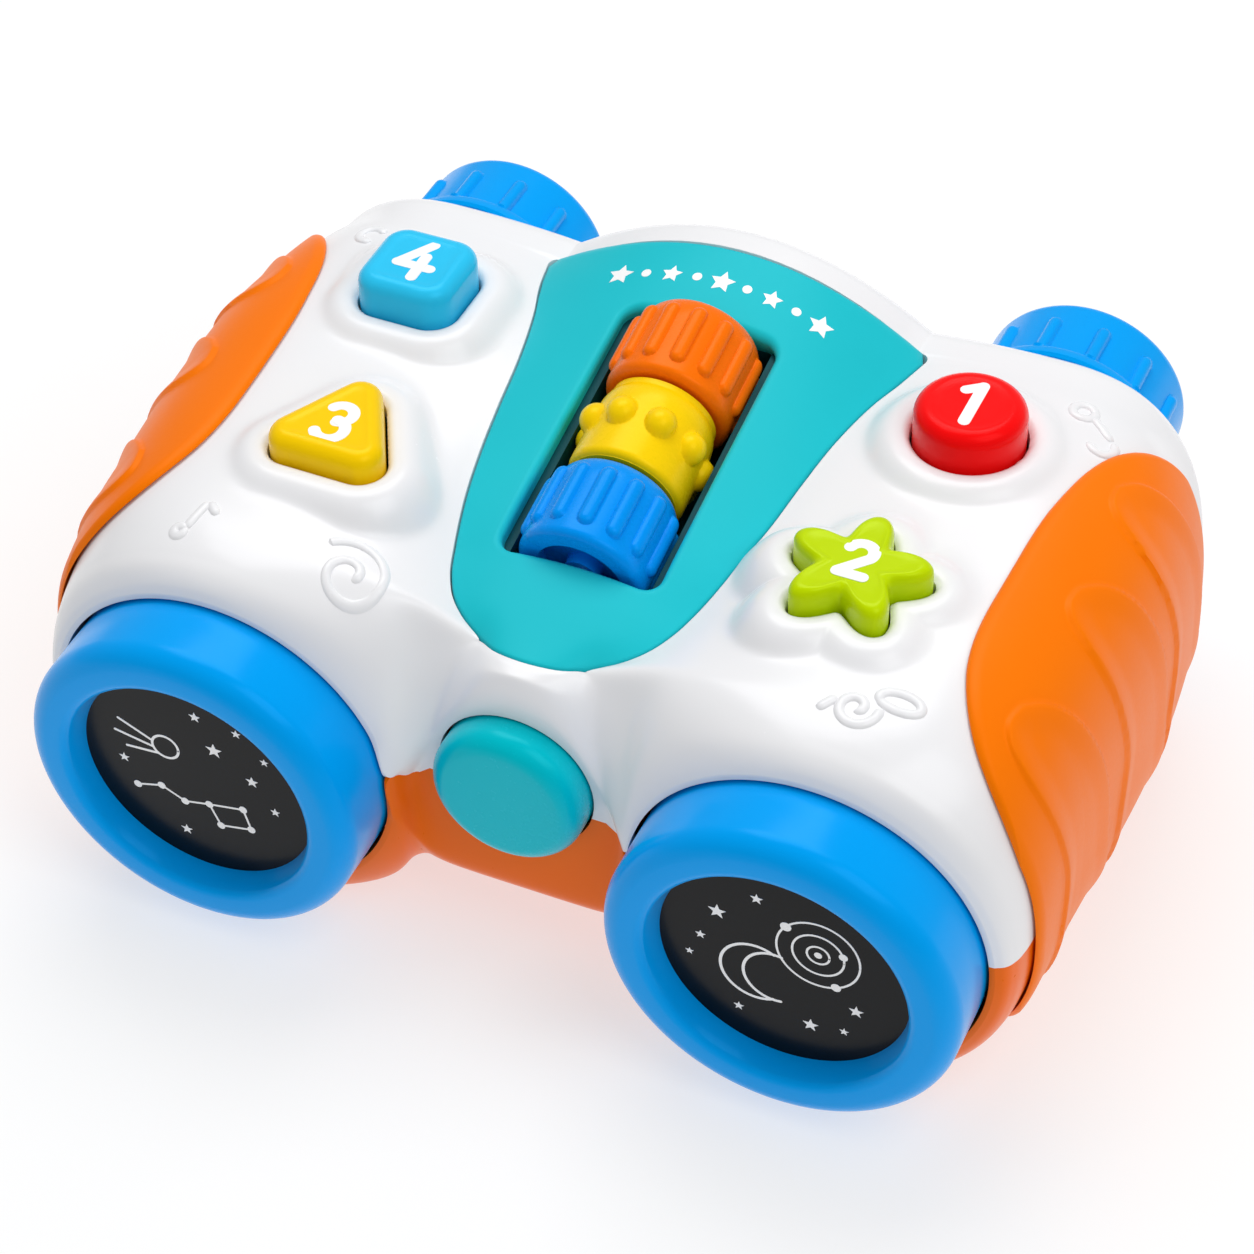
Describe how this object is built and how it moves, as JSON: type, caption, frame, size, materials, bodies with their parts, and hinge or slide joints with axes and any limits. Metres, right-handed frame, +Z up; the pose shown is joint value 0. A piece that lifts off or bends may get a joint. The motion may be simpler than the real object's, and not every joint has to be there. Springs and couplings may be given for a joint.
{
  "type": "toy binoculars",
  "caption": "Toy binoculars with a rounded two-part body, shaped press buttons, a roller panel, ribbed turning eyepieces and wide objective rings.",
  "frame": {"origin": "under the middle of the toy, on the table it stands on", "axes": "+X to the right of someone facing the objectives, +Y from the objectives to the eyepieces, +Z up"},
  "size_m": [0.1812, 0.138, 0.0854],
  "materials": {
    "white_plastic": "satin",
    "orange_plastic": "satin",
    "orange_grip": "matt, soft to the touch",
    "teal_plastic": "satin",
    "blue_plastic": "glossy",
    "yellow_plastic": "glossy",
    "red_plastic": "glossy",
    "green_plastic": "glossy",
    "cyan_plastic": "glossy",
    "dark_plastic": "matt",
    "lens_black": "printed, satin",
    "eye_lens": "glossy, dark",
    "steel": "plain",
    "board_green": "matt",
    "lamp": "clear",
    "cell": "satin",
    "cone_black": "matt"
  },
  "bodies": {
    "case": {"upper_shell": "white_plastic", "lower_shell": "orange_plastic", "left_grip": "orange_grip", "right_grip": "orange_grip", "centre_panel": "teal_plastic", "roller_cradle": "dark_plastic", "roller_axle": "steel", "round_button_spring": "steel", "star_button_spring": "steel", "triangle_button_spring": "steel", "square_button_spring": "steel", "front_button_spring": "steel", "left_board": "board_green", "right_board": "board_green", "front_board": "board_green", "button_switches": "dark_plastic", "front_switch": "dark_plastic", "objective_ring_left": "blue_plastic", "objective_ring_right": "blue_plastic", "lens_left": "lens_black", "lens_right": "lens_black", "lens_reflector_left": "white_plastic", "lens_reflector_right": "white_plastic", "lens_leds": "lamp", "led_boards": "board_green", "eyepiece_sleeve_left": "white_plastic", "eyepiece_sleeve_right": "white_plastic", "eyepiece_clips": "steel", "eyepiece_lens_left": "eye_lens", "eyepiece_lens_right": "eye_lens", "battery_tray": "orange_plastic", "batteries": "cell", "battery_contacts": "steel", "battery_door": "orange_plastic", "battery_door_screw": "steel", "speaker": "dark_plastic", "speaker_cone": "cone_black", "power_switch_body": "dark_plastic", "case_screws": "steel", "board_screws": "steel", "cradle_screws": "steel"},
    "roller_rear": {"roller_rear": "orange_plastic"},
    "roller_middle": {"roller_middle": "yellow_plastic"},
    "roller_front": {"roller_front": "blue_plastic"},
    "round_button": {"round_button": "red_plastic"},
    "star_button": {"star_button": "green_plastic"},
    "triangle_button": {"triangle_button": "yellow_plastic"},
    "square_button": {"square_button": "cyan_plastic"},
    "front_button": {"front_button": "teal_plastic"},
    "eyepiece_left": {"eyepiece_left": "blue_plastic"},
    "eyepiece_right": {"eyepiece_right": "blue_plastic"},
    "power_switch_knob": {"power_switch_knob": "dark_plastic"}
  },
  "joints": [
    {"name": "round_button_press", "type": "slide", "parent": "case", "child": "round_button", "axis": [0, 0, -1], "range_m": [0, 0.0025], "stiffness_N_per_m": 300, "springref_m": -0.002, "deforming": ["round_button_spring"]},
    {"name": "star_button_press", "type": "slide", "parent": "case", "child": "star_button", "axis": [0, 0, -1], "range_m": [0, 0.0025], "stiffness_N_per_m": 300, "springref_m": -0.002, "deforming": ["star_button_spring"]},
    {"name": "triangle_button_press", "type": "slide", "parent": "case", "child": "triangle_button", "axis": [0, 0, -1], "range_m": [0, 0.0025], "stiffness_N_per_m": 300, "springref_m": -0.002, "deforming": ["triangle_button_spring"]},
    {"name": "square_button_press", "type": "slide", "parent": "case", "child": "square_button", "axis": [0, 0, -1], "range_m": [0, 0.0025], "stiffness_N_per_m": 300, "springref_m": -0.002, "deforming": ["square_button_spring"]},
    {"name": "front_button_press", "type": "slide", "parent": "case", "child": "front_button", "axis": [0, 1, 0], "range_m": [0, 0.0025], "stiffness_N_per_m": 300, "springref_m": -0.002, "deforming": ["front_button_spring"]},
    {"name": "roller_rear_spin", "type": "hinge", "parent": "case", "child": "roller_rear", "pos_m": [0, 0.0007, 0.06881], "axis": [0, 0.9776, 0.2106], "continuous": true},
    {"name": "roller_middle_spin", "type": "hinge", "parent": "case", "child": "roller_middle", "pos_m": [0, 0.0007, 0.06881], "axis": [0, 0.9776, 0.2106], "continuous": true},
    {"name": "roller_front_spin", "type": "hinge", "parent": "case", "child": "roller_front", "pos_m": [0, 0.0007, 0.06881], "axis": [0, 0.9776, 0.2106], "continuous": true},
    {"name": "eyepiece_left_turn", "type": "hinge", "parent": "case", "child": "eyepiece_left", "pos_m": [-0.0555, 0.06, 0.0494], "axis": [0, 1, 0], "continuous": true},
    {"name": "eyepiece_right_turn", "type": "hinge", "parent": "case", "child": "eyepiece_right", "pos_m": [0.0555, 0.06, 0.0494], "axis": [0, 1, 0], "continuous": true},
    {"name": "power_switch_slide", "type": "slide", "parent": "case", "child": "power_switch_knob", "axis": [1, 0, 0], "range_m": [-0.004, 0.004]}
  ]
}
